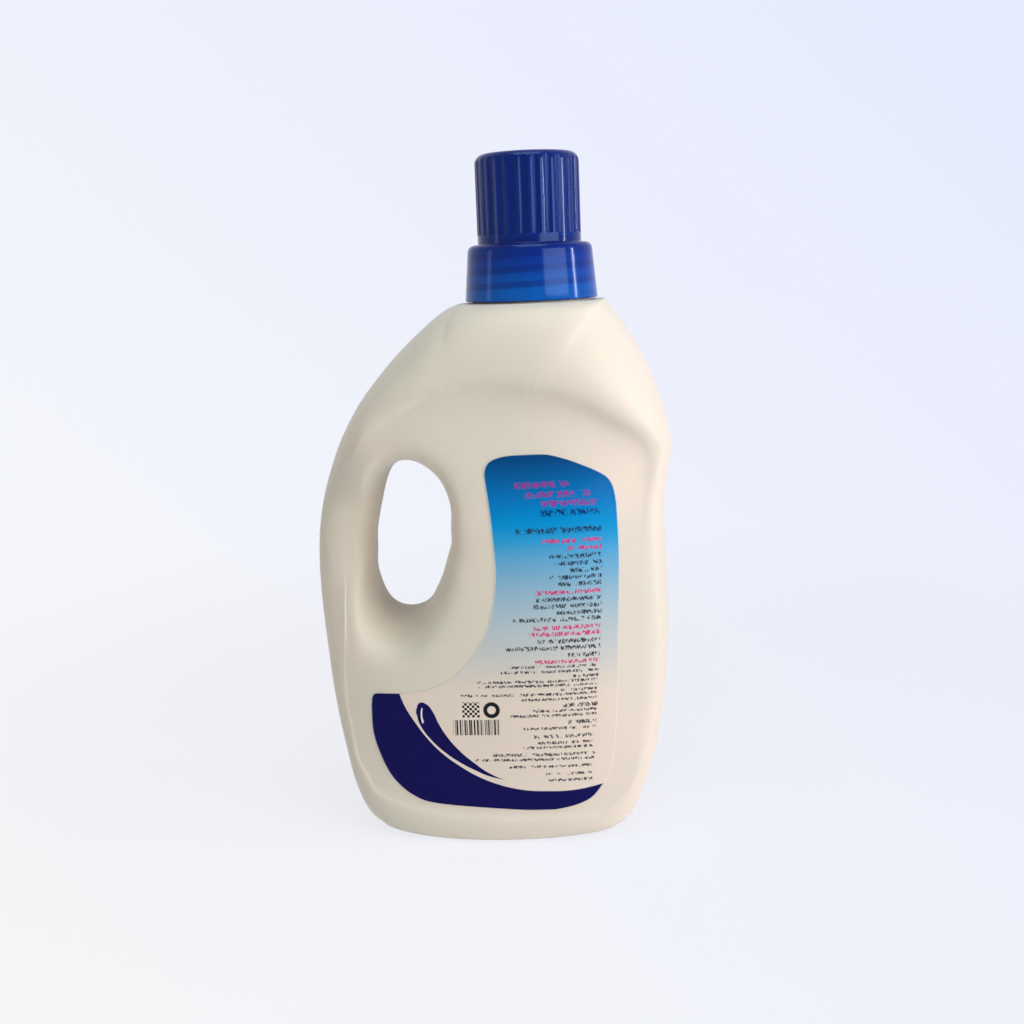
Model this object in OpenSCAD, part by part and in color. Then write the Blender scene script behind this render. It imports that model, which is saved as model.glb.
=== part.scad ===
// Floor cleaner bottle with a grip hole: a blown jug, a drain-back spout snapped into its
// neck, a sealing ring, a one-piece ribbed screw cap and a film label on the front panel.
// Millimetres, +Z up, origin at the middle of the base, label side facing -Y.

/* [Body] */
// Width across the handle and the far side
body_w = 165; // [150:1:180]
// Height from the base to the flat that carries the neck
body_h = 238.5; // [222:0.5:255]
// Depth front to back across the shoulder
body_d = 95; // [86:1:104]
// Wall of the blown body
wall = 1.2; // [1:0.1:1.6]
// Width of the flat base
base_w = 110; // [96:1:118]
// Depth of the flat base
base_d = 84; // [76:1:88]
// Rise of the hollow under the base
push_up = 2.2; // [0.5:0.1:3.5]
// Step from the shoulder down to the recessed panel
brow_step = 6; // [2:0.5:7]
// Hollow of the panel round the grip hole
panel_dip = 2; // [0:0.25:3]

/* [Grip] */
// Width of the grip hole at the parting plane
grip_w = 37; // [33:1:40]
// Height of the grip hole
grip_h = 68; // [60:1:74]
// Depth of the handle front to back
handle_d = 37; // [32:1:44]

/* [Neck] */
// Outside diameter of the neck between threads
neck_d = 50; // [48:0.5:50]
// Bore of the neck
bore_d = 47; // [46:0.5:47.5]
// Height of the neck above its flat
neck_h = 21; // [20:0.5:24]
// Rise of the thread in one turn
pitch = 6.5; // [5.5:0.25:7]
// Height of the thread above the neck wall
thread_h = 1.3; // [1:0.1:1.4]
// Turns of thread on the neck
neck_turns = 1.5; // [1:0.25:1.75]

/* [Cap] */
// Outside diameter of the skirt at its lower edge
skirt_d = 59.2; // [58.8:0.1:62]
// Outside diameter of the skirt under its shoulder
skirt_top_d = 55.6; // [55.5:0.1:57]
// Outside diameter of the ribbed grip
grip_d = 46; // [44:0.5:48]
// Height of the grip above the skirt
grip_rise = 40; // [32:0.5:46]
// Number of flutes round the grip
ribs = 28; // [22:1:34]
// Depth of the flutes
rib_depth = 0.6; // [0.4:0.1:0.7]

/* [Contents] */
// Height of the liquid above the base
fill_h = 205; // [170:1:215]

/* [Label] */
// Thickness of the film label
film = 0.25; // [0.2:0.05:0.5]

/* [Hidden] */

// The side view was drawn 165 wide and 238.5 high; it follows the driving sizes
sx = body_w / 165;
sz = body_h / 238.5;
function fit(p) = len(p) == 2 ? [p[0] * sx, p[1] * sz] : [p[0] * sx, p[1] * sz, p[2]];

neck_x = 21 * sx;
platform_r = 32.5;
grip_c = fit([-36.4, 133.5]);
rim_w = 12;
low_rim = 7;
plan_n = 2.8;

// Outline at the parting plane: x, z and the half width of the strip that runs flat across it
// Right side, from the base up to the flat under the neck
base_end = 11;
platform_end = 10;
right_side = concat([[base_w / 2, 0, base_end]], [for (p = [
    [61.6, 4, 7], [68, 18.7, 1], [72.9, 33.8, 0.3], [76.5, 53, 0.3], [78.8, 75, 0.3], [79.6, 98, 0.3],
    [78.9, 122, 0.3], [78.2, 144, 0.3], [79.8, 158, 0.3], [82.2, 172, 0.3], [80.9, 181, 0.3],
    [76.6, 197, 0.3], [70.6, 211.7, 1.5], [63, 226.4, 5]
]) fit(p)], [[neck_x + platform_r, body_h, platform_end]]);

// Left side, from the flat under the neck down over the handle to the base
left_side = concat([[neck_x - platform_r, body_h, platform_end]], [for (p = [
    [-17.5, 236.4, 8], [-27.6, 228.8, 4.5], [-39.9, 217.7, 1.5], [-49.8, 206.7, 0.3], [-58.2, 196, 0.3],
    [-67, 181.3, 0.3], [-74, 166, 0.3], [-79.2, 150, 0.3], [-82.3, 130, 0.3], [-82.3, 106, 0.3],
    [-79.5, 82, 0.3], [-76.9, 61, 0.3], [-73.8, 43, 0.3], [-70.4, 26, 0.5], [-66.3, 12, 3], [-61.4, 3.6, 7]
]) fit(p)], [[-base_w / 2, 0, base_end]]);

// Lip between the recessed panel and the skin outside it: x, z and the step there
lip = [
    [69, 120, 0.1], [70, 146, 0.25], [74, 164, 0.7], [75.8, 174, 1], [68.6, 182.5, 1],
    [52.9, 193.6, 1], [36.6, 201.4, 0.95], [19.8, 205.6, 0.9], [-1.8, 207.6, 0.8],
    [-19.5, 204.5, 0.65], [-35.7, 197.3, 0.45], [-47.9, 188.6, 0.25], [-58, 175, 0.05],
    [-65.5, 155, 0], [-68.6, 133, 0], [-68, 113, 0], [-67, 96, 0.05], [-67.5, 78, 0.1],
    [-66, 55, 0.12], [-62.5, 34, 0.18], [-54, 20, 0.25], [-34.2, 13.4, 0.3], [-4.4, 10.6, 0.33],
    [26.8, 9.8, 0.33], [48.5, 12, 0.3], [60.5, 23, 0.2], [66.5, 46, 0.1], [68.5, 78, 0.1]
];

// Radius of the grip hole every 22.5 degrees, as shares of its half width and half height
grip_shape = [
    18, 19.8, 26.2, 33.6, 37, 31.8, 22.8, 19.2, 19.2, 20.8, 29, 37.8, 35.4, 24.8, 19.2, 17.2
];

function smooth(t) = let (c = min(1, max(0, t))) c * c * (3 - 2 * c);
function mix(a, b, t) = a + (b - a) * t;
function clamp(v, lo, hi) = min(hi, max(lo, v));
function angle_of(p) = let (a = atan2(p[1] - grip_c[1], p[0] - grip_c[0])) a < 0 ? a + 360 : a;

// Catmull-Rom point between q[i] and q[i + 1] of an open run of knots
function knot(q, i) = i < 0 ? 2 * q[0] - q[1]
    : i >= len(q) ? 2 * q[len(q) - 1] - q[len(q) - 2] : q[i];
function run(q, i, t) = let (a = knot(q, i - 1), b = q[i], c = knot(q, i + 1), d = knot(q, i + 2))
    0.5 * (2 * b + (c - a) * t + (2 * a - 5 * b + 4 * c - d) * t * t
    + (3 * b - a - 3 * c + d) * t * t * t);

// Stations round the outline, down each side and across both flats
function side(q, steps) = [for (i = [0:len(q) - 2], k = [0:steps - 1]) let (p = run(q, i, k / steps))
    [p[0], clamp(p[1], 0, body_h), max(p[2], 0.3)]];
function flat(x, z, r, end, deep, steps) = [for (k = [0:steps - 1]) let (a = 180 * k / steps)
    [x + r * cos(a), z, mix(end, deep, pow(sin(a), 0.9))]];
function outline(steps, flats) = concat(side(right_side, steps),
    flat(neck_x, body_h, platform_r, platform_end, platform_r, flats), side(left_side, steps),
    flat(0, 0, -base_w / 2, base_end, base_d / 2, flats));

// The same stations moved inward, square to the outline; on the two flats, whose edge turns
// away on every side, the ends and the strip draw in too
function inset(s, by) = [for (i = [0:len(s) - 1])
    let (a = s[(i + len(s) - 1) % len(s)], b = s[(i + 1) % len(s)],
         t = [b[0] - a[0], b[1] - a[1]], n = [t[1], -t[0]] / norm(t),
         pull = s[i][1] > body_h - 0.01 ? (s[i][0] - neck_x) / platform_r
             : s[i][1] < 0.01 ? s[i][0] / base_w * 2 : 0,
         narrow = s[i][2] > 4 ? 1.1 : 0.6)
    [s[i][0] - (n[0] + pull * 0.8) * by, s[i][1] - n[1] * by, max(0.3, s[i][2] - by * narrow)]];

// Radius of the grip hole at an angle
function grip_r(a) = let (u = a / 22.5, i = floor(u), t = u - i,
    g = function (k) grip_shape[(k + 16) % 16],
    r = 0.5 * (2 * g(i) + (g(i + 1) - g(i - 1)) * t
        + (2 * g(i - 1) - 5 * g(i) + 4 * g(i + 1) - g(i + 2)) * t * t
        + (3 * g(i) - g(i - 1) - 3 * g(i + 1) + g(i + 2)) * t * t * t),
    c = r * cos(a) * grip_w / 37, s = r * sin(a) * grip_h / 68)
    norm([c, s]);

// Lip distance and step at an angle about the grip hole
lip_polar = [for (p = lip) let (q = fit([p[0], p[1]])) [angle_of(q), norm(q - grip_c), p[2]]];
function lip_at(a) = let (n = len(lip_polar),
    hit = [for (i = [0:n - 1]) let (s = lip_polar[i][0],
        w = (lip_polar[(i + 1) % n][0] - s + 360) % 360, t = (a - s + 360) % 360)
        if (t < w) [i, t / w]],
    i = hit[0][0], t = smooth(hit[0][1]) * 0.5 + hit[0][1] * 0.5,
    p = lip_polar[i], q = lip_polar[(i + 1) % n])
    [mix(p[1], q[1], t), mix(p[2], q[2], t)];

// How far the skin has drawn in to the handle: 0 on the body, 1 on the handle
function handle_share(a) = smooth((a - 104) / 52) * smooth((244 - a) / 46);

// Half depth of the skin at a point of the side view, before the panel step
function side_depth(z) = body_d / 2 * (1 - 0.06 * pow(1 - min(z / body_h / 0.8, 1), 2));
function plan_share(x) = pow(1 - pow(min(abs(x) / (body_w / 2 + 0.5), 0.985), plan_n), 1 / plan_n);
function skin_depth(p, a) = mix(side_depth(p[1]) * plan_share(p[0]), handle_d / 2, handle_share(a));

// Panel skin at share t of the way from the grip rounding to the foot of the lip
function dip(a, step, t) = mix(panel_dip * (1 - handle_share(a)), step * brow_step, t);

// One half section along the ray to a station: points x, y, z from grip hole to outline
function half_section(s, by, rim_n, face_n, edge_n) =
    let (a = angle_of(s), far = norm([s[0], s[1]] - grip_c), near = grip_r(a) + by,
         l = lip_at(a), lp = min(l[0], far - 2.5), step = l[1],
         foot = lp - 2 - 5.5 * step,
         low = pow(max(0, -sin(a)), 2),
         w = min(rim_w + low_rim * low, (lp - near) * 0.92),
         roll = 2 / (2.6 - 0.3 * low),
         d1 = min(near + w, foot - 0.5),
         ray = [cos(a), sin(a)],
         at = function (d) grip_c + ray * d,
         face = function (d, t) skin_depth(at(d), a) - dip(a, step, t) - by,
         lip_y = skin_depth(at(lp), a) - by,
         out = function (d, y) let (p = at(d)) [p[0], -y, p[1]])
    concat(
        [for (k = [0:rim_n - 1]) let (f = 90 * k / rim_n, c = pow(cos(f), roll),
            y = pow(sin(f), roll), d = d1 - (d1 - near) * c)
            out(d, max(face(d, 0) * y, 0))],
        [for (k = [0:face_n]) let (t = k / face_n, d = mix(d1, foot, t)) out(d, face(d, t))],
        [let (d = mix(foot, lp, 0.5)) out(d, (face(d, 1) + skin_depth(at(d), a) - by) / 2)],
        [for (k = [0:edge_n]) let (f = 90 * k / edge_n, c = pow(cos(f), 2 / 2.2),
            g = pow(sin(f), 2 / 2.2), e = s[2])
            out(mix(lp, far, g), e + (lip_y - e) * c)]);

// Closed skin: every station's front half, then its back half
module skin(steps, flats, by, rim_n, face_n, edge_n) {
    st = inset(outline(steps, flats), by);
    front = [for (s = st) half_section(s, by, rim_n, face_n, edge_n)];
    m = len(front[0]);
    ring = 2 * m - 1;
    points = [for (h = front) each concat(h, [for (j = [m - 1:-1:1]) [h[j][0], -h[j][1], h[j][2]]])];
    n = len(st);
    polyhedron(points, [for (i = [0:n - 1], j = [0:ring - 1])
        let (a = i * ring + j, b = i * ring + (j + 1) % ring,
             c = ((i + 1) % n) * ring + (j + 1) % ring, d = ((i + 1) % n) * ring + j)
        each [[a, c, b], [a, d, c]]], convexity = 8);
}

// Heights up the neck and cap
rim_z = body_h + neck_h;
flange_t = 1.2;
ring_t = 1.1;
skirt_z = body_h + 0.9;
ring_z = rim_z + flange_t + 0.15;
shoulder_z = ring_z + ring_t + 0.15;
shoulder_t = 1.9;
step_z = shoulder_z + shoulder_t;
cap_top = step_z + grip_rise;
cap_wall = 1.6;
neck_r = neck_d / 2;
bore_r = bore_d / 2;
collar_in = bore_r - 1.05;
cup_out = collar_in - 0.35;

// Outside radius of the skirt at a height, and the inside face of its wall
function skirt_r(z) = mix(skirt_d, skirt_top_d, (z - skirt_z) / (shoulder_z - skirt_z)) / 2;
function skirt_in(z) = skirt_r(z) - cap_wall;

// One ridge of screw thread, its crest at crest_r and its foot sunk into the wall at foot_r
module thread(foot_r, crest_r, z, turns, start, foot_w, crest_w) {
    steps = ceil(turns * 28);
    fade = 4;
    section = function (i) let (a = start + 360 * turns * i / steps, h = z + pitch * turns * i / steps,
        share = clamp(min(i, steps - i) / fade, 0.25, 1), r = mix(foot_r, crest_r, share))
        [for (q = [[foot_r, -foot_w / 2], [r, -crest_w / 2], [r, crest_w / 2], [foot_r, foot_w / 2]])
            [q[0] * cos(a), q[0] * sin(a), h + q[1]]];
    outside = crest_r > foot_r;
    faces = concat([[0, 1, 2], [0, 2, 3]],
        [for (i = [0:steps - 1], j = [0:3]) let (a = i * 4 + j, b = i * 4 + (j + 1) % 4)
            each [[a, a + 4, b + 4], [a, b + 4, b]]],
        [[steps * 4, steps * 4 + 2, steps * 4 + 1], [steps * 4, steps * 4 + 3, steps * 4 + 2]]);
    translate([neck_x, 0, 0])
        polyhedron([for (i = [0:steps]) each section(i)],
            [for (f = faces) outside ? [f[0], f[2], f[1]] : f], convexity = 6);
}

module tube(z0, z1, outer, inner, sides = 96) {
    translate([neck_x, 0, z0]) rotate_extrude($fn = sides)
        translate([inner, 0]) square([outer - inner, z1 - z0]);
}

thread_z = body_h + 6.2;
thread_gap = 0.35;

// Blown jug: hollow body and handle, neck and its thread in one piece
module bottle() color([0.89, 0.86, 0.80]) {
    difference() {
        union() {
            skin(2, 10, 0, 5, 3, 5);
            // The neck foot flares into its flat, and a bead takes the load of the cap's skirt
            translate([neck_x, 0, body_h - 0.6]) rotate_extrude($fn = 96)
                polygon([[bore_r, 0], [neck_r + 1.6, 0], [neck_r + 1.5, 0.9], [neck_r + 0.4, 1.6],
                    [neck_r, 2.6], [neck_r, neck_h - 0.1], [neck_r - 0.5, neck_h + 0.6],
                    [bore_r, neck_h + 0.6]]);
            thread(neck_r - 0.5, neck_r + thread_h, thread_z, neck_turns, 200, 3, 1.5);
        }
        difference() {
            skin(2, 10, wall, 3, 2, 4);
            base_hollow(wall);
        }
        base_hollow(0);
        translate([neck_x, 0, body_h - wall - 3]) cylinder(r = bore_r, h = wall + 5, $fn = 96);
    }
}

// Liquid, just clear of the inner wall
module cleaner_fill() color([0.86, 0.84, 0.78])
    difference() {
        skin(2, 8, wall + 0.75, 3, 1, 3);
        base_hollow(wall + 0.75);
        translate([-body_w, -body_d, fill_h]) cube([2 * body_w, 2 * body_d, body_h]);
    }

// Drain-back fitment: flange on the neck rim, collar, sloping floor, pouring tube
module pour_spout() color([0.80, 0.84, 0.88]) {
    collar_r = bore_r - 0.15;
    floor_z = body_h + 5;
    tube_r = 12.5;
    difference() {
        union() {
            tube(rim_z + 0.05, rim_z + flange_t, neck_r - 0.4, collar_in);
            tube(floor_z, rim_z + flange_t, collar_r, collar_in);
            translate([neck_x, 0, floor_z]) cylinder(r = collar_r - 0.5, h = 1, $fn = 96);
            translate([neck_x, 0, floor_z]) cylinder(r = tube_r, h = 29, $fn = 64);
        }
        translate([neck_x, 0, floor_z - 1]) cylinder(r = tube_r - 1.1, h = 40, $fn = 64);
        // Slanted mouth, high on the pouring side, and the slot that lets drips run back
        translate([neck_x, 0, floor_z + 21.5]) rotate([0, -24, 0])
            translate([-40, -40, 0]) cube([80, 80, 40]);
        translate([neck_x - 20, -2.5, floor_z - 1]) cube([20, 5, 40.5]);
    }
}

// Flat ring held up in the cap, pressed on the spout's flange when the cap is down
module sealing_ring() color([0.93, 0.93, 0.90])
    tube(ring_z, ring_z + ring_t, neck_r - 0.2, cup_out + 0.3);

// One-piece dosing cap: threaded skirt, shoulder and hollow ribbed grip
module cap() color([0.05, 0.20, 0.62]) {
    grip_r0 = grip_d / 2;
    lip_r = cup_out - 1;
    cup_r = min(grip_r0 - 2.2, lip_r - 0.2);
    flute_w = 0.86 * PI * grip_d / ribs;
    flute_r = (flute_w * flute_w / 4 + rib_depth * rib_depth) / 2 / rib_depth;
    round_r = 4.2;
    difference() {
        translate([neck_x, 0, 0]) rotate_extrude($fn = 120) {
            polygon(concat(
                [[skirt_in(skirt_z), skirt_z], [skirt_d / 2 - 0.5, skirt_z], [skirt_d / 2, skirt_z + 0.5]],
                [for (a = [0:15:90]) [skirt_top_d / 2 - 3.2 * (1 - cos(a)), step_z - 3.2 * (1 - sin(a))]],
                [[grip_r0 + 0.3, step_z], [grip_r0, step_z + 0.3]],
                [for (a = [0:15:90]) [grip_r0 - round_r * (1 - cos(a)), cap_top - 1 - round_r * (1 - sin(a))]],
                [for (x = [0.75, 0.5, 0.25, 0]) [(grip_r0 - round_r) * x, cap_top - x * x]],
                [[0, cap_top - 2.2], [cup_r - 4.5, cap_top - 3], [cup_r - 1.3, cap_top - 4.4],
                 [cup_r - 0.4, cap_top - 7.5], [lip_r, rim_z - 7], [cup_out, rim_z - 7],
                 [cup_out, shoulder_z], [skirt_in(shoulder_z) - 0.8, shoulder_z],
                 [skirt_in(shoulder_z), shoulder_z - 0.8]]));
        }
        // Shallow flutes that leave narrow ribs standing, stopped above the plain band
        for (i = [0:ribs - 1]) rotate_about(i * 360 / ribs)
            translate([grip_r0 + flute_r - rib_depth, 0, step_z + 4])
                cylinder(r = flute_r, h = grip_rise, $fn = 48);
    }
    thread(skirt_in(thread_z) + 0.35, neck_r + 0.35, thread_z - pitch / 2 + thread_gap, 1.25, 200, 2.6, 1.3);
}

// Shallow hollow under the base, raised by the wall where it shapes the inside
module base_hollow(by) {
    r = 40;
    scale([(base_w / 2 - 9 + by) / r, (base_d / 2 - 8 + by) / r, 1]) rotate_extrude($fn = 32)
        polygon([[0, -1], [r, -1], [r, by - 0.03], [r - 3, by + push_up * 0.3],
            [r - 9, by + push_up * 0.85], [r - 16, by + push_up], [0, by + push_up]]);
}

module rotate_about(a) {
    translate([neck_x, 0, 0]) rotate([0, 0, a]) children();
}

// Edges of the label by height: the upper part stands beside the grip hole, the foot runs
// on under it to the handle side
label_left = [[175.4, 20], [174.6, 8.5], [173.2, 4.2], [171, 1.9], [166.8, 0.9], [156.8, 2],
    [143.3, 3.2], [130, 4], [122, 4], [110, 2.5], [99.4, -0.3], [94.4, -2.6], [86.7, -7.4],
    [79, -14.4], [73.8, -22.5], [71.2, -29.5], [69.6, -40.8], [69.1, -52.5], [66, -54.4],
    [61, -54.9], [51.7, -54.8], [43.3, -52.9], [33.2, -48.7], [26.4, -43.5], [21, -36],
    [18.4, -27], [16.4, -5], [14.8, 18]];
label_right = [[175.4, 22], [174.6, 29.5], [173.2, 34.2], [171, 40], [166.3, 49.5], [161.9, 54.6],
    [154.9, 56.7], [142.8, 57.4], [130, 57.6], [117.2, 57.3], [91.6, 56.3], [70.6, 55.6],
    [42.5, 53.4], [30.7, 50.4], [26.2, 48.1], [21, 44], [18.4, 40], [16.4, 34], [14.8, 25]];
label_rows = [175.4, 174.6, 173.2, 171, 166.8, 161.9, 154.9, 143.3, 130, 117.2, 110, 99.4, 94.4,
    86.7, 79, 73.8, 71.2, 69.6, 69.1, 66, 61, 51.7, 43.3, 33.2, 26.4, 21, 18.4, 16.4, 14.8];

// Half depth of the recessed panel at a point of the side view
function panel_depth(p) = let (a = angle_of(p), d = norm(p - grip_c), l = lip_at(a),
    foot = l[0] - 2 - 5.5 * l[1],
    near = grip_r(a) + rim_w + low_rim * pow(max(0, -sin(a)), 2))
    skin_depth(p, a) - dip(a, l[1], clamp((d - near) / (foot - near), 0, 1));

// Film label that follows the curve of the panel, a hair clear of it
module label() color([0.10, 0.38, 0.68]) {
    columns = 10;
    lift = 0.3;
    n = len(label_rows);
    flat = [for (z = label_rows, k = [0:columns])
        fit([mix(lookup(z, label_left), lookup(z, label_right), k / columns), z])];
    m = len(flat);
    w = columns + 1;
    grid = [for (i = [0:n - 2], k = [0:columns - 1]) let (a = i * w + k) each
        [[a, a + 1, a + w + 1], [a, a + w + 1, a + w]]];
    edge = concat([for (k = [0:columns - 1]) k], [for (i = [0:n - 2]) i * w + columns],
        [for (k = [columns:-1:1]) (n - 1) * w + k], [for (i = [n - 1:-1:1]) i * w]);
    polyhedron(concat([for (p = flat) [p[0], -panel_depth(p) - lift - film, p[1]]],
                      [for (p = flat) [p[0], -panel_depth(p) - lift, p[1]]]),
        concat([for (f = grid) f], [for (f = grid) [f[0] + m, f[2] + m, f[1] + m]],
            [for (i = [0:len(edge) - 1]) let (a = edge[i], b = edge[(i + 1) % len(edge)])
                each [[a, a + m, b + m], [a, b + m, b]]]), convexity = 4);
}

bottle();
label();
pour_spout();
cleaner_fill();
sealing_ring();
cap();
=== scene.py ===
import bpy
import math
from mathutils import Matrix, Vector


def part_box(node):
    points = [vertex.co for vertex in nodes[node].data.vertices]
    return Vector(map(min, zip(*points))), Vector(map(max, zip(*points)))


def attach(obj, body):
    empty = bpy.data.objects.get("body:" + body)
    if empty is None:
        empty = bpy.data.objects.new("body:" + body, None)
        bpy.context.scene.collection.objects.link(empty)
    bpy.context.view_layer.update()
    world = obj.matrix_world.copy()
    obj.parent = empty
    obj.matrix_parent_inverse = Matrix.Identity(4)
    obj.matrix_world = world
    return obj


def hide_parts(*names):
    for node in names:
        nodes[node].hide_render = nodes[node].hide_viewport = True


# Floor cleaner bottle: blown jug with a grip hole, film label, drain-back spout, ring and cap.
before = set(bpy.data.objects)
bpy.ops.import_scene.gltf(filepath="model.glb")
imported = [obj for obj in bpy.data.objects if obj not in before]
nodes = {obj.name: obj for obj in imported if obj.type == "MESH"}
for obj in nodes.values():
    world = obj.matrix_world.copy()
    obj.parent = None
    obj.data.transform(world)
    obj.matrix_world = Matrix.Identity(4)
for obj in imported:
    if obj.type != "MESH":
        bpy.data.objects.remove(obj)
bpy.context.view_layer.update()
millimetre = 0.001
print("frame loaded:", sorted(nodes))


class Value:
    # A number socket that can be written in sums with numbers and other values
    def __init__(self, finish, socket):
        self.finish = finish
        self.socket = socket

    def made(self, operation, other=0.0, flipped=False):
        pair = {0: other, 1: self} if flipped else {0: self, 1: other}
        node = self.finish.node("ShaderNodeMath", {"operation": operation}, pair)
        return Value(self.finish, node.outputs[0])

    def __add__(self, other):
        return self.made("ADD", other)

    def __radd__(self, other):
        return self.made("ADD", other, True)

    def __sub__(self, other):
        return self.made("SUBTRACT", other)

    def __rsub__(self, other):
        return self.made("SUBTRACT", other, True)

    def __mul__(self, other):
        return self.made("MULTIPLY", other)

    def __rmul__(self, other):
        return self.made("MULTIPLY", other, True)

    def __truediv__(self, other):
        return self.made("DIVIDE", other)

    def __abs__(self):
        return self.made("ABSOLUTE")

    def root(self):
        return self.made("SQRT")

    def most(self, other):
        return self.made("MAXIMUM", other)

    def turnTo(self, other):
        return self.made("ARCTAN2", other)

    def within(self, length):
        return self.made("FLOORED_MODULO", length)

    def above(self, edge, soft):
        # 0 below the edge, 1 above it, with a soft step
        made = self.finish.node("ShaderNodeMapRange", {"interpolation_type": "SMOOTHSTEP"},
                                {"Value": self, "From Min": edge - soft, "From Max": edge + soft})
        return Value(self.finish, made.outputs[0])

    def below(self, edge, soft):
        return 1 - self.above(edge, soft)

    def between(self, low, high, soft):
        return self.above(low, soft) * self.below(high, soft)


class Finish:
    # The nodes of one material or of the world
    def __init__(self, holder):
        self.holder = holder
        holder.use_nodes = True
        self.tree = holder.node_tree
        self.tree.nodes.clear()

    def node(self, kind, settings=None, inputs=None):
        made = self.tree.nodes.new(kind)
        for key, value in (settings or {}).items():
            if key == "stops":
                while len(made.color_ramp.elements) < len(value):
                    made.color_ramp.elements.new(0.5)
                for element, (position, tone) in zip(made.color_ramp.elements, value):
                    element.position = position
                    element.color = tone
            elif key == "points":
                curve = made.mapping.curves[0]
                while len(curve.points) < len(value):
                    curve.points.new(0.5, 0.5)
                for point, at in zip(curve.points, value):
                    point.location = at
                made.mapping.update()
            else:
                setattr(made, key, value)
        for key, value in (inputs or {}).items():
            if isinstance(value, Value):
                value = value.socket
            if isinstance(value, bpy.types.NodeSocket):
                self.tree.links.new(value, made.inputs[key])
            else:
                made.inputs[key].default_value = value
        return made

    def parts(self, vector):
        split = self.node("ShaderNodeSeparateXYZ", {}, {0: vector})
        return [Value(self, split.outputs[i]) for i in range(3)]

    def noise(self, size, detail=2.0, rough=0.5, stretch=(1, 1, 1)):
        # Noise whose features are about size millimetres
        mapped = self.node("ShaderNodeMapping", {}, {"Vector": self.place, "Scale": stretch})
        made = self.node("ShaderNodeTexNoise", {}, {
            "Vector": mapped.outputs[0], "Scale": 1000 / size,
            "Detail": detail, "Roughness": rough})
        return Value(self, made.outputs[0])

    def mix(self, share, first, second):
        made = self.node("ShaderNodeMix", {"data_type": "RGBA"}, {0: share, 6: first, 7: second})
        return made.outputs[2]

    def bump(self, height, strength, distance):
        return self.node("ShaderNodeBump", {}, {
            "Height": height, "Strength": strength, "Distance": distance * millimetre}).outputs[0]

    def seenDirectly(self):
        # 1 where the camera, a mirror or clear plastic looks straight at the surface
        path = self.node("ShaderNodeLightPath")
        seen = [Value(self, path.outputs[name])
                for name in ("Is Camera Ray", "Is Glossy Ray", "Is Transmission Ray")]
        return seen[0].most(seen[1]).most(seen[2])

    def close(self, shader, kind="Material"):
        self.node("ShaderNodeOutput" + kind, {}, {"Surface": shader})
        return self.holder


def surface(name):
    # A new material; x, y and z are millimetres in the object's own frame
    finish = Finish(bpy.data.materials.new(name))
    finish.place = finish.node("ShaderNodeTexCoord").outputs["Object"]
    finish.x, finish.y, finish.z = [part * 1000 for part in finish.parts(finish.place)]
    return finish


def colour(red, green, blue):
    # An sRGB colour as seen, 0 to 255, made linear
    def linear(value):
        share = value / 255
        return share / 12.92 if share <= 0.04045 else ((share + 0.055) / 1.055) ** 2.4
    return (linear(red), linear(green), linear(blue), 1.0)


def activate(piece):
    bpy.ops.object.select_all(action="DESELECT")
    piece.select_set(True)
    bpy.context.view_layer.objects.active = piece


def applyAll(piece):
    activate(piece)
    for modifier in list(piece.modifiers):
        bpy.ops.object.modifier_apply(modifier=modifier.name)


def mergedCopy(node, name):
    # A copy of a CAD mesh with its loose triangles merged
    piece = bpy.data.objects.new(name, nodes[node].data.copy())
    piece.data.materials.clear()
    bpy.context.scene.collection.objects.link(piece)
    activate(piece)
    bpy.ops.object.mode_set(mode="EDIT")
    bpy.ops.mesh.select_all(action="SELECT")
    bpy.ops.mesh.customdata_custom_splitnormals_clear()
    bpy.ops.mesh.remove_doubles(threshold=0.000002)
    bpy.ops.object.mode_set(mode="OBJECT")
    return piece


def finishPiece(piece, material, body, replaced):
    piece.data.materials.clear()
    piece.data.materials.append(material)
    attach(piece, body)
    for node in replaced:
        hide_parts(node)


# The photograph's viewpoint, in metres and degrees
view = {"azimuth": 5.83, "distance": 0.6219, "height": 0.2566, "roll": 2.281,
        "targetAcross": 0.00839, "targetHeight": 0.1425, "focalPixels": 1368,
        "pictureWidth": 1024, "sensorWidth": 36}


def addCamera():
    turn = math.radians(view["azimuth"])
    place = Vector((view["distance"] * math.sin(turn), -view["distance"] * math.cos(turn),
                    view["height"]))
    target = Vector((view["targetAcross"] * math.cos(turn), view["targetAcross"] * math.sin(turn),
                     view["targetHeight"]))
    forward = (target - place).normalized()
    right = forward.cross(Vector((0, 0, 1))).normalized()
    up = right.cross(forward)
    cosine = math.cos(math.radians(view["roll"]))
    sine = math.sin(math.radians(view["roll"]))
    across = right * cosine - up * sine
    upward = right * sine + up * cosine
    lens = bpy.data.cameras.new("camera")
    lens.sensor_width = view["sensorWidth"]
    lens.lens = view["focalPixels"] / view["pictureWidth"] * view["sensorWidth"]
    camera = bpy.data.objects.new("camera", lens)
    bpy.context.scene.collection.objects.link(camera)
    camera.matrix_world = Matrix((
        (across.x, upward.x, -forward.x, place.x),
        (across.y, upward.y, -forward.y, place.y),
        (across.z, upward.z, -forward.z, place.z),
        (0, 0, 0, 1)))
    bpy.context.scene.camera = camera


addCamera()
print("camera placed")

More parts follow.
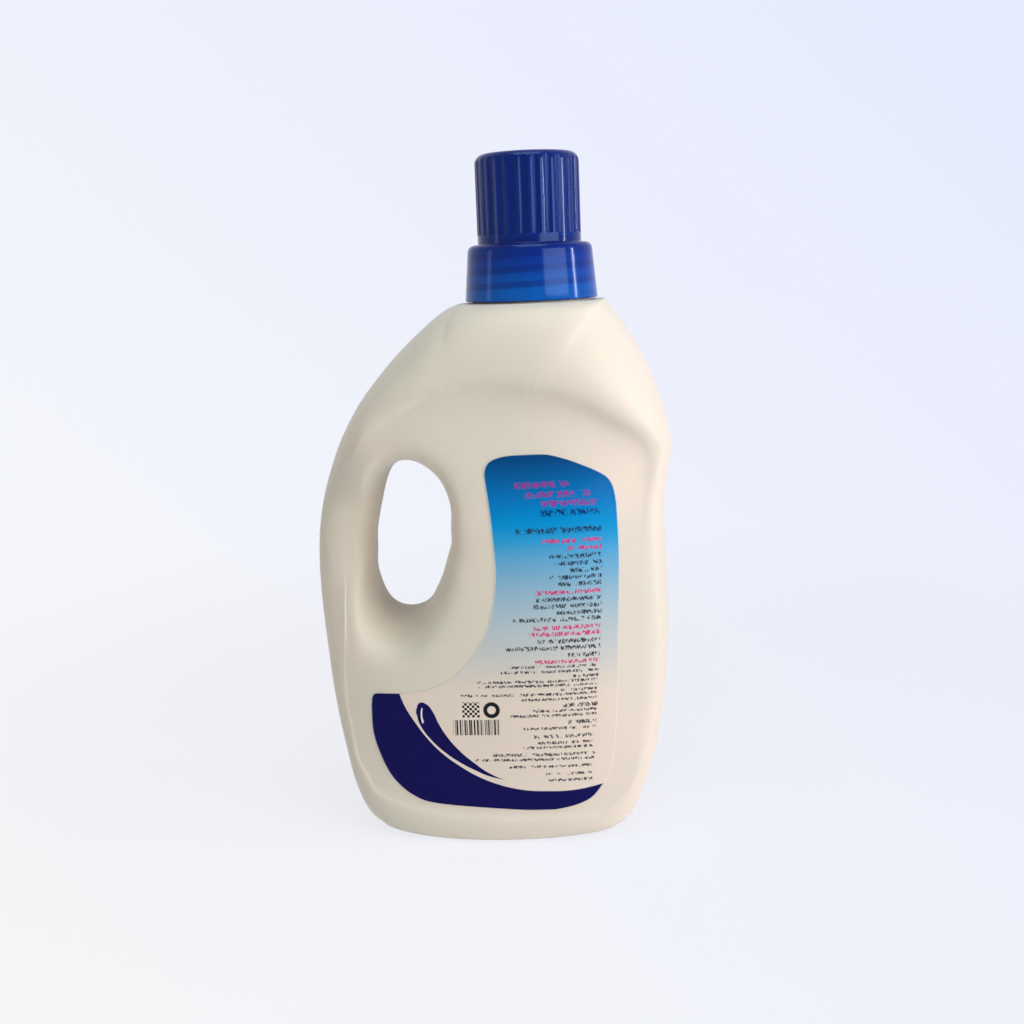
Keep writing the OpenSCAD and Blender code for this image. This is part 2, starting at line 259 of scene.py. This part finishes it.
# Backdrop colours from lower left to upper right, and the lamps: name, azimuth to the right of
# straight on, elevation, distance, width, height, watts, tint and what it points at
studio = {
    "lowLeft": (251, 251, 250), "highRight": (229, 234, 254), "fadeStart": 0.69, "fadeSlope": 0.67,
    "floorSize": 16.0, "floorDrop": 0.0002, "nearGlow": 0.84, "shadowReach": 420, "shadowSoft": 300,
    "ambient": 0.3, "ambientTint": (1.0, 0.86, 0.66),
    "lamps": [
        ("key", 50, 14, 1.3, 1.0, 0.5, 8.6, (1.0, 0.92, 0.92), (0.01, 0, 0.17)),
        ("top", 10, 75, 1.3, 0.8, 0.8, 8.6, (0.72, 0.88, 0.98), (0, 0, 0.15)),
        ("right strip", 87, 6, 0.9, 0.05, 0.36, 2.6, (1.0, 0.86, 0.92), (0.02, 0, 0.24)),
        ("left strip", -74, 6, 0.9, 0.12, 0.36, 0.4, (0.9, 0.72, 1.0), (0.02, 0, 0.24)),
    ],
}


def backdrop(finish, direction):
    # Pale colour by the direction of view from the camera's place
    across, _, up = finish.parts(direction)
    share = finish.node("ShaderNodeClamp", {}, {
        0: studio["fadeStart"] + studio["fadeSlope"] * (across + up)})
    return finish.mix(Value(finish, share.outputs[0]), colour(*studio["lowLeft"]),
                      colour(*studio["highRight"]))


def addWorld():
    bpy.context.scene.view_settings.view_transform = "Standard"
    world = bpy.data.worlds.new("studio")
    bpy.context.scene.world = world
    finish = Finish(world)
    direction = finish.node("ShaderNodeTexCoord").outputs["Generated"]
    ambient = finish.node("ShaderNodeBackground", {}, {
        0: (*studio["ambientTint"], 1), 1: studio["ambient"]})
    shown = finish.node("ShaderNodeBackground", {}, {0: backdrop(finish, direction), 1: 1.0})
    mix = finish.node("ShaderNodeMixShader", {}, {
        0: finish.seenDirectly(), 1: ambient.outputs[0], 2: shown.outputs[0]})
    finish.close(mix.outputs[0], "World")


def addFloor():
    bpy.ops.mesh.primitive_plane_add(size=studio["floorSize"],
                                     location=(0, 0, -studio["floorDrop"]))
    floor = bpy.context.object
    floor.name = "floor"
    finish = surface("pale floor")
    away = finish.node("ShaderNodeVectorMath", {"operation": "SUBTRACT"}, {
        0: finish.place, 1: bpy.context.scene.camera.matrix_world.translation})
    direction = finish.node("ShaderNodeVectorMath", {"operation": "NORMALIZE"},
                            {0: away.outputs[0]})
    pale = backdrop(finish, direction.outputs[0])
    far = (finish.x * finish.x + finish.y * finish.y).root()
    shade = finish.mix(finish.noise(40, 3) * 0.1, pale, colour(243, 245, 250))
    matt = finish.node("ShaderNodeBsdfPrincipled", {}, {"Base Color": shade, "Roughness": 0.9})
    matt.inputs["Specular IOR Level"].default_value = 0.1
    glow = finish.node("ShaderNodeEmission", {}, {"Color": shade, "Strength": 1.0})
    lit = far.above(studio["shadowReach"], studio["shadowSoft"])
    # Near the bottle part of the floor's light comes from the lamps, which keeps the shadow
    share = finish.seenDirectly() * (studio["nearGlow"] + (1 - studio["nearGlow"]) * lit)
    blend = finish.node("ShaderNodeMixShader", {}, {
        0: share, 1: matt.outputs[0], 2: glow.outputs[0]})
    floor.data.materials.append(finish.close(blend.outputs[0]))


def addLamp(name, azimuth, elevation, distance, width, height, power, tint, aim):
    side = math.radians(azimuth)
    rise = math.radians(elevation)
    place = Vector(aim) + distance * Vector((
        math.sin(side) * math.cos(rise), -math.cos(side) * math.cos(rise), math.sin(rise)))
    data = bpy.data.lights.new(name, "AREA")
    data.shape = "RECTANGLE"
    data.size = width
    data.size_y = height
    data.energy = power
    data.color = tint
    lamp = bpy.data.objects.new(name, data)
    bpy.context.scene.collection.objects.link(lamp)
    lamp.location = place
    lamp.rotation_euler = (Vector(aim) - place).to_track_quat("-Z", "Y").to_euler()


addWorld()
addFloor()
for lamp in studio["lamps"]:
    addLamp(*lamp)
print("studio ready")

# The blown jug, sRGB colours as seen
jug = {"warm": (228, 218, 203), "cool": (217, 215, 199),
       "roughness": 0.48, "seamHalfWidth": 0.3, "subdivisions": 2, "relax": 6,
       "neckHeight": 21.1, "collar": 1.5, "neckAngle": 35}


def ivoryPlastic():
    finish = surface("ivory blown plastic")
    cloud = finish.noise(70, 2)
    base = finish.mix(cloud.above(0.5, 0.25), colour(*jug["cool"]), colour(*jug["warm"]))
    speck = finish.noise(2.2, 3)
    base = finish.mix(speck.above(0.72, 0.08) * 0.12, base, colour(190, 178, 158))
    peel = finish.noise(0.9, 2)
    flow = finish.noise(16, 2, 0.5, (1, 1, 0.35))
    seam = abs(finish.y).below(jug["seamHalfWidth"], 0.12)
    height = peel * 0.25 + flow * 1.6 + seam * 2.2
    normal = finish.bump(height, 0.35, 0.12)
    rough = jug["roughness"] + (finish.noise(9, 3) - 0.5) * 0.14 - seam * 0.08
    skin = finish.node("ShaderNodeBsdfPrincipled", {}, {
        "Base Color": base, "Roughness": rough, "Normal": normal, "IOR": 1.5,
        "Subsurface Weight": 0.12, "Subsurface Radius": (1.0, 0.8, 0.55),
        "Subsurface Scale": 0.004})
    skin.inputs["Specular IOR Level"].default_value = 0.3
    return finish.close(skin.outputs[0])


def makeJug():
    plastic = ivoryPlastic()
    body = mergedCopy("bottle", "jugBody")
    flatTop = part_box("bottle")[1].z - jug["neckHeight"] * millimetre
    # The neck keeps its turned edges; the blown skin below is made smooth
    bpy.ops.object.mode_set(mode="EDIT")
    bpy.ops.mesh.select_mode(type="FACE")
    bpy.ops.mesh.select_all(action="DESELECT")
    bpy.ops.object.mode_set(mode="OBJECT")
    for face in body.data.polygons:
        high = face.center.z > flatTop + 0.0001
        level = face.center.z > flatTop - 0.0002 and face.normal.z > 0.98
        face.select = high or level
    bpy.ops.object.mode_set(mode="EDIT")
    bpy.ops.mesh.separate(type="SELECTED")
    bpy.ops.object.mode_set(mode="OBJECT")
    neck = [piece for piece in bpy.context.selected_objects if piece is not body][0]
    neck.name = "jugNeck"
    activate(body)
    bpy.ops.object.mode_set(mode="EDIT")
    bpy.ops.mesh.select_all(action="SELECT")
    bpy.ops.mesh.tris_convert_to_quads(face_threshold=0.9, shape_threshold=0.9)
    bpy.ops.object.mode_set(mode="OBJECT")
    smooth = body.modifiers.new("smooth", "SUBSURF")
    smooth.levels = smooth.render_levels = jug["subdivisions"]
    skinOnly = body.vertex_groups.new(name="skinOnly")
    skinOnly.add([vertex.index for vertex in body.data.vertices
                  if vertex.co.z < flatTop - jug["collar"] * millimetre], 1.0, "REPLACE")
    relax = body.modifiers.new("relax", "SMOOTH")
    relax.factor = 0.5
    relax.iterations = jug["relax"]
    relax.vertex_group = "skinOnly"
    applyAll(body)
    bpy.ops.object.shade_smooth()
    activate(neck)
    bpy.ops.object.shade_smooth_by_angle(angle=math.radians(jug["neckAngle"]))
    finishPiece(body, plastic, "bottle", ["bottle"])
    finishPiece(neck, plastic, "bottle", ["bottle"])
    print("jug:", len(body.data.polygons), "faces, neck", len(neck.data.polygons))
    return body


jugBody = makeJug()

# The film label and its print
label = {
    "steps": 4, "columns": 44, "lift": 0.15, "film": 0.12, "edgeSoft": 0.12,
    "fadeFoot": 70, "fadeHeight": 103, "navy": (16, 14, 82), "black": (30, 30, 34),
    # Left and right edges by height, millimetres
    "left": [(175.4, 20), (175.1, 13), (174.6, 8.5), (173.2, 4.2), (171, 1.9), (166.8, 0.9),
             (156.8, 2), (143.3, 3.2), (130, 4), (122, 4), (110, 2.5), (99.4, -0.3), (94.4, -2.6),
             (86.7, -7.4), (79, -14.4), (73.8, -22.5), (71.2, -29.5), (69.6, -40.8), (69.1, -52),
             (67.6, -54), (66, -54.5), (61, -54.9), (51.7, -54.8), (43.3, -52.9), (33.2, -48.7),
             (26.4, -43.5), (21, -36), (18.4, -27), (16.4, -5), (14.8, 18)],
    "right": [(175.4, 22), (175.1, 26), (174.6, 29.5), (173.2, 34.2), (171, 40), (166.3, 49.5),
              (161.9, 54.6), (154.9, 56.7), (142.8, 57.4), (130, 57.6), (117.2, 57.3),
              (91.6, 56.3), (70.6, 55.6), (42.5, 53.4), (30.7, 50.4), (26.2, 48.1), (21, 44),
              (18.4, 40), (16.4, 34), (14.8, 25)],
    "heights": [175.4, 175.1, 174.6, 173.2, 171, 166.8, 161.9, 154.9, 143.3, 130, 117.2, 110, 99.4,
                94.4, 86.7, 79, 73.8, 71.2, 69.6, 69.1, 67.6, 66, 61, 51.7, 43.3, 33.2, 26.4, 21,
                18.4, 16.4, 14.8],
}


def smoothEdge(points, steps=10):
    # A Catmull-Rom curve through the named points, as a fine run of points
    ends = [points[0]] + list(points) + [points[-1]]
    curve = []
    for before, start, end, after in zip(ends, ends[1:], ends[2:], ends[3:]):
        for step in range(steps):
            t = step / steps
            curve.append(tuple(
                0.5 * (2 * b + (c - a) * t + (2 * a - 5 * b + 4 * c - d) * t * t
                       + (3 * b - a - 3 * c + d) * t * t * t)
                for a, b, c, d in zip(before, start, end, after)))
    return curve + [points[-1]]


def edgeAt(curve, height):
    for (high, first), (low, second) in zip(curve, curve[1:]):
        if height >= low:
            share = (high - height) / max(high - low, 1e-9)
            return first + (second - first) * share
    return curve[-1][1]


def heightAt(share):
    place = share * (len(label["heights"]) - 1)
    first = min(int(place), len(label["heights"]) - 2)
    low, high = label["heights"][first], label["heights"][first + 1]
    return low + (high - low) * (place - first)


def filmPrint():
    finish = surface("printed film")
    x, z = finish.x, finish.z
    edgeSoft = label["edgeSoft"]
    black = colour(*label["black"])
    clear = finish.mix(finish.noise(60, 2), colour(224, 214, 200), colour(229, 219, 206))
    # Sky: deep at the top, clear below the middle
    sky = finish.node("ShaderNodeValToRGB", {"stops": [
        (0.0, colour(214, 208, 197)), (0.13, colour(206, 207, 203)), (0.33, colour(172, 196, 206)),
        (0.52, colour(118, 177, 210)), (0.66, colour(44, 156, 212)), (0.73, colour(0, 143, 208)),
        (0.82, colour(0, 119, 190)), (1.0, colour(0, 70, 128))]},
        {"Fac": (z - label["fadeFoot"]) / label["fadeHeight"]})
    base = finish.mix(z.above(76, 9), clear, sky.outputs[0])

    # Navy foot and the leaf above it, drawn by height against x
    def line(points):
        curve = finish.node("ShaderNodeFloatCurve", {
            "points": [((a + 60) / 120, b / 80) for a, b in points]}, {"Value": (x + 60) / 120})
        return Value(finish, curve.outputs[0]) * 80

    foot = line([(-60, 75), (-42.6, 74), (-41.1, 69), (-38.8, 63.2), (-34.8, 56.4), (-29.5, 48.9),
                 (-23.1, 42), (-15.5, 36.1), (-6.7, 30.7), (2.1, 27.1), (8.7, 25.3), (15.4, 24.2),
                 (23.1, 23.8), (30.9, 23.7), (37.6, 24.2), (43.1, 25.1), (48.2, 26.2), (60, 28)])
    leafTop = line([(-60, 62), (-34.1, 62), (-33.4, 64.4), (-31.6, 65.8), (-29.2, 65),
                    (-26.6, 61.8), (-24.1, 56), (-20.4, 49.6), (-15.1, 43.1), (-8.7, 37.3), (-2.2, 32.5),
                    (4.6, 29.5), (60, 20)])
    leafFoot = line([(-60, 62), (-34.1, 61), (-33.6, 58.2), (-31.6, 53.5), (-27.3, 47.7),
                     (-21.9, 42.5), (-15.4, 37.8), (-8.8, 34.1), (-2.2, 31.1), (4.6, 29.5),
                     (60, 20)])
    leaf = (leafTop - z).above(0, edgeSoft) * (z - leafFoot).above(0, edgeSoft) \
        * x.between(-34.1, 4.6, 0.1)
    navy = (foot - z).above(0, edgeSoft).most(leaf)
    base = finish.mix(navy, base, colour(*label["navy"]))
    # The tear of light on the leaf
    tear = ((x + 31.3) * (x + 31.3) * 1.6 + (z - 59.6) * (z - 59.6) * 0.075).below(0.95, 0.25)
    core = ((x + 30.7) * (x + 30.7) * 2.4 + (z - 60.2) * (z - 60.2) * 0.11).below(0.9, 0.25)
    base = finish.mix(tear * (1 - core), base, colour(226, 226, 236))

    # Rows of plain print: height, size, left end, right end and how pink they are
    rows = [(162, 2.8, 13.5, 37, 1), (157.6, 2.8, 18, 46, 1), (153.7, 2.8, 24.7, 48.4, 1),
            (149.8, 2.8, 24.6, 49.7, 0), (142.2, 2.6, 13.2, 50.2, 0), (137.5, 2, 24.6, 50.4, 1),
            (134.2, 2, 35.4, 50.3, 1), (130.8, 2, 27.5, 50.4, 0), (127.6, 2, 29.5, 50.4, 0),
            (124.5, 2, 36, 50.3, 0), (121.5, 2, 27.2, 50.2, 0), (118.5, 2, 31.1, 49.7, 0),
            (114.9, 2, 20.6, 49.6, 1), (111.8, 2, 21.3, 49.5, 0), (108.7, 2, 19.7, 49.8, 0),
            (105.7, 2, 30, 49.3, 0), (102.8, 2, 11, 49, 0), (99.1, 2, 19.7, 48.7, 1),
            (96.3, 2, 17.3, 48.6, 1), (93, 2, 20.7, 48.8, 0), (90, 2, 7, 48.5, 0),
            (86.4, 2.1, 34.3, 47.9, 0), (83.7, 1.8, 19.8, 47.6, 1), (81.5, 1.3, 8.2, 47.4, 0),
            (79.3, 1.3, 4.3, 47.3, 0), (76.9, 1.3, 34.3, 47.2, 0), (74.9, 1.3, -7.8, 46.7, 0),
            (73, 1.3, -5.4, 46.7, 0), (70.7, 1.3, 30.7, 46.4, 0), (68.9, 1.3, -13.5, 46.3, 0),
            (66.6, 1.3, 13.3, 46.3, 0), (63.6, 1.9, 31.2, 46.6, 0), (61.3, 1.3, 17, 45.9, 0),
            (59.1, 1.3, 7.4, 45.9, 0), (55.7, 1.9, 33.3, 45.8, 0), (53.2, 1.3, 13.6, 45.3, 0),
            (49.4, 1.7, 17.2, 44.5, 0), (46.4, 1.3, 19.6, 44.2, 0), (44.3, 1.3, 13.3, 44.1, 0),
            (41, 1.5, -0.6, 44.7, 0), (38.8, 1.3, -8.3, 44.2, 0), (35.4, 1.3, 6.5, 43.2, 0),
            (31.7, 1.3, 22.8, 43.3, 0), (28.9, 1.3, 23.8, 43.2, 0)]
    masks = [None, None]
    for height, size, left, right, isPink in rows:
        away = abs(z - height)
        row = (away.below(size * 0.3, 0.08) + away.below(size * 0.52, 0.08)) * 0.5 \
            * x.between(left, right, 0.1)
        masks[isPink] = row if masks[isPink] is None else masks[isPink].most(row)
    words = finish.noise(2.4, 1, 0.5, (1, 1, 0.8)).above(0.4, 0.02)
    strokes = finish.noise(0.5, 1, 0.5, (1, 1, 0.4))
    shades = [(colour(36, 38, 50), colour(4, 34, 96)), (colour(206, 36, 112), colour(150, 48, 140))]
    for row, (plain, onSky) in zip(masks, shades):
        ink = (strokes + row * 0.16).above(0.615, 0.03) * row.above(0.2, 0.1) * words
        base = finish.mix(ink * 0.92, base, finish.mix(z.above(144, 6), plain, onSky))

    # A stippled square, a ring and a block of upright bars
    square = x.between(-13.2, -5.5, 0.08) * z.between(58.9, 65.9, 0.08)
    checks = finish.node("ShaderNodeTexChecker", {}, {"Vector": finish.place, "Scale": 900.0})
    base = finish.mix(square * Value(finish, checks.outputs[1]), base, black)
    bars = x.between(-17.8, 2.8, 0.08) * z.between(50.6, 57.7, 0.08)
    fine = finish.noise(0.7, 1, 0.5, (1, 0.0001, 0.0001)).above(0.5, 0.04)
    base = finish.mix(bars * fine, base, black)
    ring = ((x + 0.2) * (x + 0.2) + (z - 62.2) * (z - 62.2)).root()
    base = finish.mix(ring.between(1.9, 3.7, edgeSoft), base, black)

    # Painted highlight: the film's cut edge is made paler, in place of the light it catches
    rim = finish.node("ShaderNodeAttribute", {"attribute_name": "rim"})
    cut = Value(finish, rim.outputs["Fac"]).below(0.3, 0.15)
    base = finish.mix(cut * 0.55, base, colour(246, 244, 240))

    wrinkle = finish.noise(24, 2) * 0.6 + finish.noise(1.6, 2) * 0.05
    skin = finish.node("ShaderNodeBsdfPrincipled", {}, {
        "Base Color": base, "Roughness": 0.3 + finish.noise(12, 2) * 0.08,
        "Normal": finish.bump(wrinkle, 0.25, 0.12), "IOR": 1.45})
    skin.inputs["Specular IOR Level"].default_value = 0.08
    return finish.close(skin.outputs[0])


def makeLabel():
    rows = (len(label["heights"]) - 1) * label["steps"]
    columns = label["columns"]
    bpy.ops.object.select_all(action="DESELECT")
    bpy.ops.mesh.primitive_grid_add(x_subdivisions=columns, y_subdivisions=rows, size=2)
    film = bpy.context.object
    film.name = "labelFilm"
    leftCurve = smoothEdge(label["left"])
    rightCurve = smoothEdge(label["right"])
    top, foot = label["heights"][0], label["heights"][-1]
    rim = film.data.attributes.new("rim", "FLOAT", "POINT")
    for vertex in film.data.vertices:
        across = (vertex.co.x + 1) / 2
        height = heightAt((1 - vertex.co.y) / 2)
        left = edgeAt(leftCurve, height)
        right = edgeAt(rightCurve, height)
        vertex.co = Vector((left + (right - left) * across, -60, height)) * millimetre
        # How far the point lies from the film's edge, for the painted highlight on the cut edge
        rim.data[vertex.index].value = min(
            (right - left) * min(across, 1 - across), top - height, height - foot)
    wrap = film.modifiers.new("wrap", "SHRINKWRAP")
    wrap.target = jugBody
    wrap.wrap_method = "PROJECT"
    wrap.use_project_y = True
    wrap.use_negative_direction = False
    wrap.use_positive_direction = True
    wrap.offset = label["lift"] * millimetre
    wrap.wrap_mode = "ABOVE_SURFACE"
    thick = film.modifiers.new("film", "SOLIDIFY")
    thick.thickness = label["film"] * millimetre
    thick.offset = 1
    applyAll(film)
    bpy.ops.object.shade_smooth_by_angle(angle=math.radians(40))
    finishPiece(film, filmPrint(), "bottle", ["label"])
    print("label:", len(film.data.polygons), "faces")


makeLabel()

# The screw cap
cap = {"deep": (0, 20, 100), "crest": (0, 44, 132), "royal": (0, 92, 186), "upper": (0, 42, 140),
       "band": (0, 20, 104), "pitch": 6.5, "bandHalf": 1.4, "lipHeight": 22.2, "firstBand": 8.8,
       "crestRadius": 22.95, "fluteFoot": 27, "fluteTop": 58}


def capPlastic():
    finish = surface("deep blue plastic")
    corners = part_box("cap")
    foot = corners[0].z * 1000
    x = finish.x - (corners[0].x + corners[1].x) * 500
    y = finish.y
    z = finish.z - foot
    # Painted light through the plastic: the skirt stands over the pale neck, so its colour is made paler
    # blue towards its edge, standing in for the light it lets through
    skirt = z.below(cap["lipHeight"], 1.5)
    skirtLitThrough = finish.mix(z.above(10, 10), colour(*cap["royal"]), colour(*cap["upper"]))
    base = finish.mix(skirt, colour(*cap["deep"]), skirtLitThrough)
    # Painted shade: the thread ridges seen through the skirt are darker stripes that climb to the right
    turn = y.turnTo(x) / (2 * math.pi)
    rise = (z - cap["firstBand"] - turn * cap["pitch"] + cap["pitch"] / 2).within(cap["pitch"])
    threadShade = abs(rise - cap["pitch"] / 2).below(cap["bandHalf"], 0.7) * skirt * z.above(3, 2)
    base = finish.mix(threadShade * 0.55, base, colour(*cap["band"]))
    # Painted highlight: the crests between the flutes are made a little paler blue, in place of the
    # light they catch
    out = (x * x + y * y).root()
    crest = out.above(cap["crestRadius"], 0.03) * z.between(cap["fluteFoot"], cap["fluteTop"], 2)
    base = finish.mix(crest * 0.5, base, colour(*cap["crest"]))
    flow = finish.noise(14, 2, 0.5, (1, 1, 0.2))
    base = finish.mix(flow.above(0.5, 0.3) * 0.3, base, colour(0, 44, 132))
    skin = finish.node("ShaderNodeBsdfPrincipled", {}, {
        "Base Color": base, "Roughness": 0.1 + finish.noise(6, 2) * 0.06,
        "Normal": finish.bump(finish.noise(5, 2) * 0.6, 0.2, 0.08), "IOR": 1.45})
    skin.inputs["Specular IOR Level"].default_value = 0.28
    skin.inputs["Specular Tint"].default_value = (0.45, 0.72, 1.0, 1.0)
    return finish.close(skin.outputs[0])


def makeCap():
    shell = mergedCopy("cap", "capShell")
    activate(shell)
    edge = shell.modifiers.new("edge", "BEVEL")
    edge.width = 0.18 * millimetre
    edge.segments = 2
    edge.limit_method = "ANGLE"
    edge.angle_limit = math.radians(28)
    edge.use_clamp_overlap = True
    applyAll(shell)
    bpy.ops.object.shade_smooth_by_angle(angle=math.radians(35))
    finishPiece(shell, capPlastic(), "cap", ["cap"])
    print("cap:", len(shell.data.polygons), "faces")


makeCap()

# Spout, sealing ring and contents, seen when the cap is off
inner = {"spout": (206, 214, 222), "foam": (238, 238, 232), "liquid": (222, 216, 200)}


def plainFinish(name, tint, grain, roughness, depth):
    finish = surface(name)
    tone = finish.mix(finish.noise(grain * 6, 2), colour(*tint), colour(*[c * 0.94 for c in tint]))
    skin = finish.node("ShaderNodeBsdfPrincipled", {}, {
        "Base Color": tone, "Roughness": roughness + finish.noise(grain * 3, 2) * 0.1,
        "Normal": finish.bump(finish.noise(grain, 3), 0.4, depth)})
    return finish.close(skin.outputs[0])


def dressNode(node, material):
    piece = nodes[node]
    for place in piece.material_slots:
        place.material = material
    if not piece.material_slots:
        piece.data.materials.append(material)


dressNode("pour_spout", plainFinish("spout plastic", inner["spout"], 1.2, 0.28, 0.05))
dressNode("sealing_ring", plainFinish("ring foam", inner["foam"], 0.4, 0.7, 0.12))
dressNode("cleaner_fill", plainFinish("cleaner", inner["liquid"], 6, 0.1, 0.05))
print("inner parts dressed")
